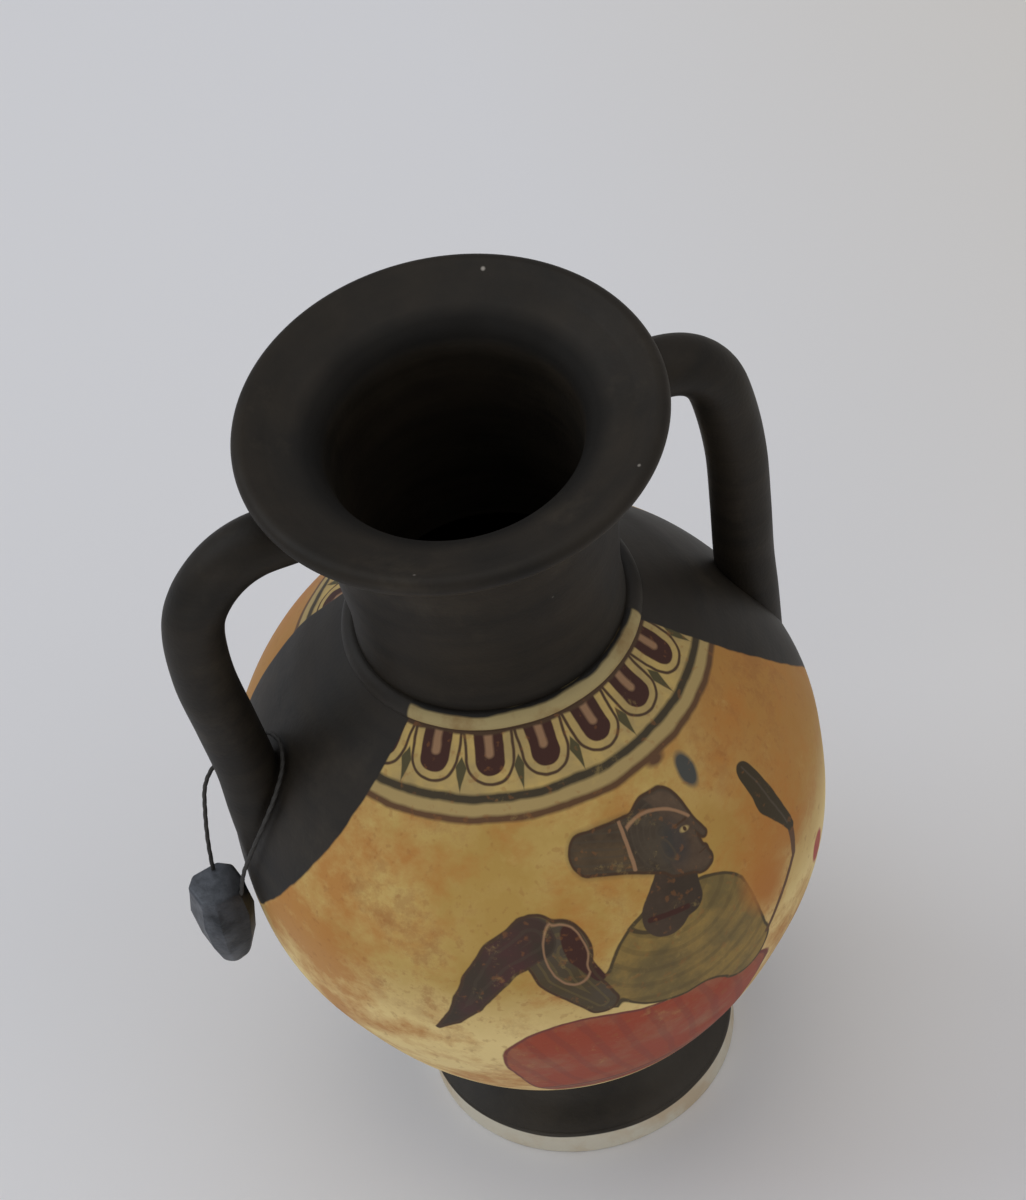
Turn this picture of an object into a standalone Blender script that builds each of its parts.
"""A painted neck amphora with a lead seal hung on its left handle.

The pot is built the way a potter puts one together: foot, body, neck and mouth are turned
separately and joined with slip, a fillet of clay covers the joint under the neck, and two
round handles are luted on. A loop of thin cord with a lead seal hangs round one handle.

Frame: metres, +Z up, origin at the middle of the foot's underside. The handles lie near
the X axis, and the painted front of the pot faces -Y.
"""

import bmesh
import bpy
from math import atan2, cos, pi, radians, sin
from mathutils import Matrix, Vector

# ---- driving dimensions -------------------------------------------------------------
LIP_RADIUS = 0.0530          # outer edge of the mouth
LIP_TOP = 0.2510             # height of the whole pot
LIP_THICKNESS = 0.0054
BELLY_RADIUS = 0.0752
BELLY_HEIGHT = 0.1100        # height at which the belly is widest
NECK_FOOT_Z = 0.1794         # where the neck stands on the shoulder
NECK_TOP_Z = 0.2336          # where the mouth is joined to the neck
NECK_RADIUS = 0.0339         # outside, just above the shoulder
THROAT_RADIUS = 0.0294       # inside, at the narrowest place
BODY_BASE_Z = 0.0205         # underside of the body, on the stem of the foot
STEM_RADIUS = 0.0280
FOOT_RADIUS = 0.0404
FOOT_SIDE = 0.0074           # height of the foot's upright side
FOOT_RECESS = 0.0025         # hollow of the foot's underside
HANDLE_RADIUS = 0.0077
HANDLE_TURN = radians(4.5)   # both handles stand this much behind the X axis
LEFT_TOP_Z = 0.2302          # middle of each handle's level stretch
RIGHT_TOP_Z = 0.2324
LEFT_BOW = 0.0024            # how far each handle's upright bows out
RIGHT_BOW = 0.0002
CORD_RADIUS = 0.0006
SEAL_WIDTH = 0.0158
SEAL_TOP_Z = 0.1122
SEAL_LENGTH = 0.0312
JOINT_GAP = 0.0003           # clearance between touching pieces
CORD_END_GAP = 0.0004        # the seal rocks under the cord's two ends
SEGMENTS = 48                # sides of every turned piece

# ---- colours and finishes: colour, roughness, metallic ------------------------------
BLACK_SLIP = ((0.030, 0.026, 0.023), 0.55, 0.0)
OCHRE_SLIP = ((0.520, 0.350, 0.140), 0.60, 0.0)
CREAM_SLIP = ((0.660, 0.560, 0.360), 0.60, 0.0)
LEAD = ((0.080, 0.090, 0.105), 0.55, 0.8)
CORD = ((0.050, 0.048, 0.045), 0.80, 0.0)

TIP = 1e-6                   # points nearer than this are one point


def clear_scene():
    for old in list(bpy.data.objects):
        bpy.data.objects.remove(old, do_unlink=True)


def finish(name, recipe):
    """A Principled material of one colour."""
    colour, roughness, metallic = recipe
    material = bpy.data.materials.new(name)
    material.use_nodes = True
    shader = material.node_tree.nodes["Principled BSDF"]
    shader.inputs["Base Color"].default_value = (*colour, 1.0)
    shader.inputs["Roughness"].default_value = roughness
    shader.inputs["Metallic"].default_value = metallic
    return material


def add_mesh(name, mesh, recipe):
    """Link a mesh as a named object with its own material, smooth except at sharp edges."""
    part = bpy.data.objects.new(name, mesh)
    bpy.context.collection.objects.link(part)
    mesh.materials.clear()
    mesh.materials.append(finish(name, recipe))
    mesh.shade_smooth()
    mesh.set_sharp_from_angle(angle=radians(35))
    return part


def smooth_line(points, steps):
    """A Catmull-Rom curve through the points, with that many steps in each span."""
    knots = [Vector(p) for p in points]
    ends = [2 * knots[0] - knots[1], *knots, 2 * knots[-1] - knots[-2]]
    line = []
    for a, b, c, d in zip(ends, ends[1:], ends[2:], ends[3:]):
        for i in range(steps):
            t = i / steps
            bend = (2 * a - 5 * b + 4 * c - d) * t * t
            twist = (3 * b - 3 * c + d - a) * t * t * t
            line.append(0.5 * (2 * b + (c - a) * t + bend + twist))
    return line + [knots[-1]]


def arc(centre_r, centre_z, radius, start, end, steps):
    """Points on an arc in the (radius, height) plane, angles in degrees."""
    line = []
    for i in range(steps + 1):
        angle = radians(start + (end - start) * i / steps)
        line.append(Vector((centre_r + radius * cos(angle), centre_z + radius * sin(angle))))
    return line


def lathe(name, outline, recipe):
    """Turn an outline of (radius, height) points round the Z axis.

    An outline that starts and ends on the axis makes a vessel or a disc, and any other is
    closed on itself and makes a ring.
    """
    bm = bmesh.new()
    rim = [bm.verts.new((r, 0.0, z)) for r, z in outline]
    edges = [bm.edges.new(pair) for pair in zip(rim, rim[1:])]
    if outline[0][0] > TIP or outline[-1][0] > TIP:
        edges.append(bm.edges.new((rim[-1], rim[0])))
    bmesh.ops.spin(
        bm, geom=rim + edges, axis=(0, 0, 1), cent=(0, 0, 0),
        steps=SEGMENTS, angle=2 * pi, use_merge=True,
    )
    bmesh.ops.remove_doubles(bm, verts=bm.verts, dist=TIP)
    bmesh.ops.recalc_face_normals(bm, faces=bm.faces)
    mesh = bpy.data.meshes.new(name)
    bm.to_mesh(mesh)
    bm.free()
    return add_mesh(name, mesh, recipe)


def tube(name, route, radius, sides_level, bend_steps):
    """A round bar along a smooth route, as a curve with a bevel and filled caps."""
    curve = bpy.data.curves.new(name, "CURVE")
    curve.dimensions = "3D"
    curve.bevel_depth = radius
    curve.bevel_resolution = sides_level
    curve.use_fill_caps = True
    line = smooth_line(route, bend_steps)
    spline = curve.splines.new("POLY")
    spline.points.add(len(line) - 1)
    for point, place in zip(spline.points, line):
        point.co = (*place, 1.0)
    spline.use_smooth = True
    return curve


# ---- outlines of the turned pieces ----------------------------------------------------
def shoulder_and_belly():
    """Outside of the body from the joint under the neck down to the foot."""
    joint_edge = (0.0343, NECK_FOOT_Z)
    return smooth_line(
        [
            joint_edge,
            (0.0374, 0.1762),
            (0.0450, 0.1694),
            (0.0532, 0.1612),
            (0.0660, 0.1437),
            (0.0738, 0.1255),
            (BELLY_RADIUS, BELLY_HEIGHT),
            (0.0736, 0.0909),
            (0.0672, 0.0733),
            (0.0582, 0.0550),
            (0.0460, 0.0377),
            (STEM_RADIUS + 0.0010, BODY_BASE_Z + 0.0012),
        ],
        2,
    )


def inside_of_body():
    """Inside of the body from its floor up to the joint under the neck."""
    floor_z = BODY_BASE_Z + 0.0065
    return smooth_line(
        [
            (0.0230, floor_z),
            (0.0405, 0.0400),
            (0.0615, 0.0720),
            (0.0700, 0.1090),
            (0.0615, 0.1420),
            (0.0430, 0.1630),
            (THROAT_RADIUS + 0.0002, NECK_FOOT_Z),
        ],
        3,
    )


def make_foot():
    stem_top = BODY_BASE_Z - JOINT_GAP
    flare = smooth_line(
        [(STEM_RADIUS, stem_top), (0.0290, 0.0172), (0.0330, 0.0128), (0.0378, 0.0096),
         (FOOT_RADIUS - 0.0004, FOOT_SIDE + 0.0006)],
        2,
    )
    side = [(FOOT_RADIUS, FOOT_SIDE - 0.0006), (FOOT_RADIUS, 0.0012), (FOOT_RADIUS - 0.0010, 0.0)]
    underside = [(0.0310, 0.0), (0.0295, FOOT_RECESS), (0.0, FOOT_RECESS)]
    outline = [(0.0, stem_top), *flare, *side, *underside]
    return lathe("foot", outline, BLACK_SLIP)


def make_body():
    outside = shoulder_and_belly()
    inside = inside_of_body()
    base = [(STEM_RADIUS, BODY_BASE_Z), (0.0, BODY_BASE_Z)]
    floor = (0.0, inside[0][1])
    outline = [floor, *inside, *outside, *base]
    return lathe("body", outline, OCHRE_SLIP)


def neck_outside():
    return smooth_line(
        [(NECK_RADIUS, NECK_FOOT_Z + JOINT_GAP), (0.0338, 0.1900), (0.0350, 0.2030),
         (0.0364, 0.2160), (0.0380, 0.2260), (0.0398, NECK_TOP_Z)],
        2,
    )


def make_neck():
    inside = smooth_line(
        [(0.0318, NECK_TOP_Z), (0.0310, 0.2240), (0.0299, 0.2100), (THROAT_RADIUS, 0.1950),
         (THROAT_RADIUS, NECK_FOOT_Z + JOINT_GAP)],
        2,
    )
    return lathe("neck", [*neck_outside(), *inside], BLACK_SLIP)


def lip_edge():
    """The rounded outer edge of the mouth, from its top to its underside."""
    half = LIP_THICKNESS / 2
    return arc(LIP_RADIUS - half, LIP_TOP - half, half, 95, -80, 7)


def under_lip():
    """The underside of the mouth, from the lip's edge in to the joint with the neck."""
    return smooth_line(
        [(0.0487, 0.2444), (0.0440, 0.2412), (0.0412, 0.2372), (0.0400, NECK_TOP_Z + JOINT_GAP)],
        2,
    )


def make_mouth():
    funnel = smooth_line(
        [(0.0319, NECK_TOP_Z + JOINT_GAP), (0.0321, 0.2388), (0.0339, 0.2430),
         (0.0388, 0.2456), (0.0450, 0.2484)],
        2,
    )
    return lathe("mouth", [*funnel, *lip_edge(), *under_lip()], BLACK_SLIP)


def make_neck_ring():
    """A half-round fillet of clay laid on the shoulder against the neck."""
    inner = Vector((NECK_RADIUS + JOINT_GAP, NECK_FOOT_Z + 0.0005))
    outer = Vector((0.0374, 0.1766))
    proud = 0.0013
    across = outer - inner
    up = Vector((-across.y, across.x)).normalized()
    steps = 6
    bulge = []
    for i in range(steps + 1):
        t = i / steps
        bulge.append(inner + across * t + up * proud * sin(pi * t) ** 0.6)
    return lathe("neck_ring", bulge, CREAM_SLIP)


# ---- handles --------------------------------------------------------------------------
def handle_route(top, bow):
    """Middle line of a handle in the XZ plane: out from the neck, round, and down.

    Both handles were rolled and bent by hand, so each has its own height at the top, and
    its upright stretch bows out by its own amount.
    """
    route = [
        (0.0300, top + 0.0005),
        (0.0430, top),
        (0.0540, top - 0.0004),
        (0.0625, top - 0.0046),
        (0.0680 + 0.6 * bow, top - 0.0130),
        (0.0702 + bow, 0.2070),
        (0.0710 + 0.8 * bow, 0.1900),
        (0.0700 + 0.3 * bow, 0.1710),
        (0.0687, 0.1530),
        (0.0682, 0.1380),
        (0.0672, 0.1190),
    ]
    return [(x, 0.0, z) for x, z in route]


def make_pot_cutter():
    """The solid that the handles are trimmed to: the pot's outside, with the joint gap."""
    outside = [*lip_edge(), *under_lip(), *reversed(neck_outside()), *shoulder_and_belly()]
    grown = []
    for before, here, after in zip(outside, outside[1:], outside[2:]):
        along = (Vector(after) - Vector(before)).normalized()
        outward = Vector((-along.y, along.x))
        grown.append(Vector(here) + outward * JOINT_GAP * 1.15)
    top = (0.0, grown[0].y)
    bottom = (0.0, grown[-1].y)
    cutter = lathe("pot_cutter", [top, *grown, bottom], BLACK_SLIP)
    cutter.hide_render = True
    cutter.display_type = "WIRE"
    return cutter


def make_handle(name, azimuth, top, bow, cutter):
    curve = tube(name, handle_route(top, bow), HANDLE_RADIUS, 6, 4)
    bar = bpy.data.objects.new(name + "_bar", curve)
    mesh = bpy.data.meshes.new_from_object(bar)
    bpy.data.objects.remove(bar)
    mesh.transform(Matrix.Rotation(azimuth, 4, "Z"))
    handle = add_mesh(name, mesh, BLACK_SLIP)
    trim = handle.modifiers.new("trim_to_pot", "BOOLEAN")
    trim.operation = "DIFFERENCE"
    trim.solver = "EXACT"
    trim.object = cutter
    return handle


# ---- seal and its cord ----------------------------------------------------------------
LEFT_AZIMUTH = pi - HANDLE_TURN
OUT = Vector((cos(LEFT_AZIMUTH), sin(LEFT_AZIMUTH), 0.0))
FRONT = Vector((-sin(HANDLE_TURN), -cos(HANDLE_TURN), 0.0))


def beside_handle(out, front, height):
    """A point given from the pot's axis: out along the left handle, to its front, and up."""
    return OUT * out + FRONT * front + Vector((0.0, 0.0, height))


SWING_PIVOT = beside_handle(0.0592, 0.0, 0.1565)
SEAL_PIVOT = beside_handle(0.0812, 0.0, SEAL_TOP_Z + CORD_END_GAP)


def cord_route():
    """The loop: up from the seal, round behind the handle's foot, and down to the seal."""
    end_z = SEAL_TOP_Z + CORD_END_GAP
    return [
        beside_handle(0.0834, -0.0048, end_z),
        beside_handle(0.0826, -0.0051, 0.1230),
        beside_handle(0.0812, -0.0056, 0.1340),
        beside_handle(0.0793, -0.0066, 0.1425),
        beside_handle(0.0755, -0.0082, 0.1468),
        beside_handle(0.0700, -0.0092, 0.1488),
        beside_handle(0.0645, -0.0088, 0.1515),
        beside_handle(0.0606, -0.0056, 0.1548),
        beside_handle(0.0592, 0.0000, 0.1565),
        beside_handle(0.0606, 0.0056, 0.1545),
        beside_handle(0.0645, 0.0094, 0.1496),
        beside_handle(0.0690, 0.0099, 0.1412),
        beside_handle(0.0738, 0.0091, 0.1312),
        beside_handle(0.0772, 0.0072, 0.1215),
        beside_handle(0.0790, 0.0050, end_z),
    ]


def make_seal_cord():
    curve = tube("seal_cord", cord_route(), CORD_RADIUS, 2, 5)
    cord = bpy.data.objects.new("seal_cord", curve)
    bpy.context.collection.objects.link(cord)
    curve.materials.append(finish("seal_cord", CORD))
    return cord


def seal_outline(drop):
    """Width of the seal at a depth below its top, as a share of its full width."""
    widths = ((0.0, 0.80), (0.30, 1.0), (0.62, 0.86), (0.88, 0.50), (1.0, 0.24))
    for (high, wide), (low, narrow) in zip(widths, widths[1:]):
        if drop <= low + TIP:
            return wide + (narrow - wide) * (drop - high) / (low - high)
    return widths[-1][1]


def make_lead_seal():
    """A pinched lump of lead: wide shoulders, a tapered lower end and a small nub."""
    bm = bmesh.new()
    block = SEAL_LENGTH * 0.88
    bmesh.ops.create_cube(bm, size=1.0)
    bmesh.ops.scale(bm, verts=bm.verts, vec=(SEAL_WIDTH, SEAL_WIDTH * 0.95, block))
    bmesh.ops.translate(bm, verts=bm.verts, vec=(0, 0, -block / 2))
    upright = [e for e in bm.edges if abs(e.verts[0].co.z - e.verts[1].co.z) > block / 2]
    bmesh.ops.bevel(
        bm, geom=upright, offset=SEAL_WIDTH * 0.22, segments=1, profile=0.5,
        affect="EDGES", material=-1,
    )
    for drop in (0.30, 0.62):
        bmesh.ops.bisect_plane(
            bm, geom=[*bm.verts, *bm.edges, *bm.faces], dist=TIP,
            plane_co=(0, 0, -SEAL_LENGTH * drop), plane_no=(0, 0, 1),
        )
    sole = min(bm.faces, key=lambda f: f.calc_center_median().z)
    bmesh.ops.inset_region(bm, faces=[sole], thickness=SEAL_WIDTH * 0.14)
    bmesh.ops.translate(bm, verts=sole.verts, vec=(0, 0, -SEAL_LENGTH * 0.12))
    for vert in bm.verts:
        share = seal_outline(-vert.co.z / SEAL_LENGTH)
        vert.co.x *= share
        vert.co.y *= share
    bmesh.ops.recalc_face_normals(bm, faces=bm.faces)
    mesh = bpy.data.meshes.new("lead_seal")
    bm.to_mesh(mesh)
    bm.free()
    facing = Matrix.Rotation(LEFT_AZIMUTH + radians(12), 4, "Z")
    place = beside_handle(0.0840, 0.0, SEAL_TOP_Z)
    mesh.transform(Matrix.Translation(place) @ facing)
    return add_mesh("lead_seal", mesh, LEAD)


def hang_on(part, pivot, turn, name):
    """Give a moving piece an empty as its parent, with its Y axis along the joint's axis."""
    empty = bpy.data.objects.new(name, None)
    bpy.context.collection.objects.link(empty)
    empty.location = pivot
    empty.rotation_euler = (0.0, 0.0, turn)
    bpy.context.view_layer.update()
    part.parent = empty
    part.matrix_parent_inverse = empty.matrix_world.inverted()
    return empty


def build():
    clear_scene()
    make_foot()
    make_body()
    make_neck_ring()
    make_neck()
    make_mouth()
    cutter = make_pot_cutter()
    make_handle("handle_right", HANDLE_TURN, RIGHT_TOP_Z, RIGHT_BOW, cutter)
    make_handle("handle_left", LEFT_AZIMUTH, LEFT_TOP_Z, LEFT_BOW, cutter)
    cord = make_seal_cord()
    seal = make_lead_seal()
    swing = hang_on(cord, SWING_PIVOT, -HANDLE_TURN, "cord_swing_axis")
    eye_line = cord_route()[0] - cord_route()[-1]
    rock = hang_on(seal, SEAL_PIVOT, atan2(-eye_line.x, eye_line.y), "seal_rock_axis")
    rock.parent = swing
    rock.matrix_parent_inverse = swing.matrix_world.inverted()


build()
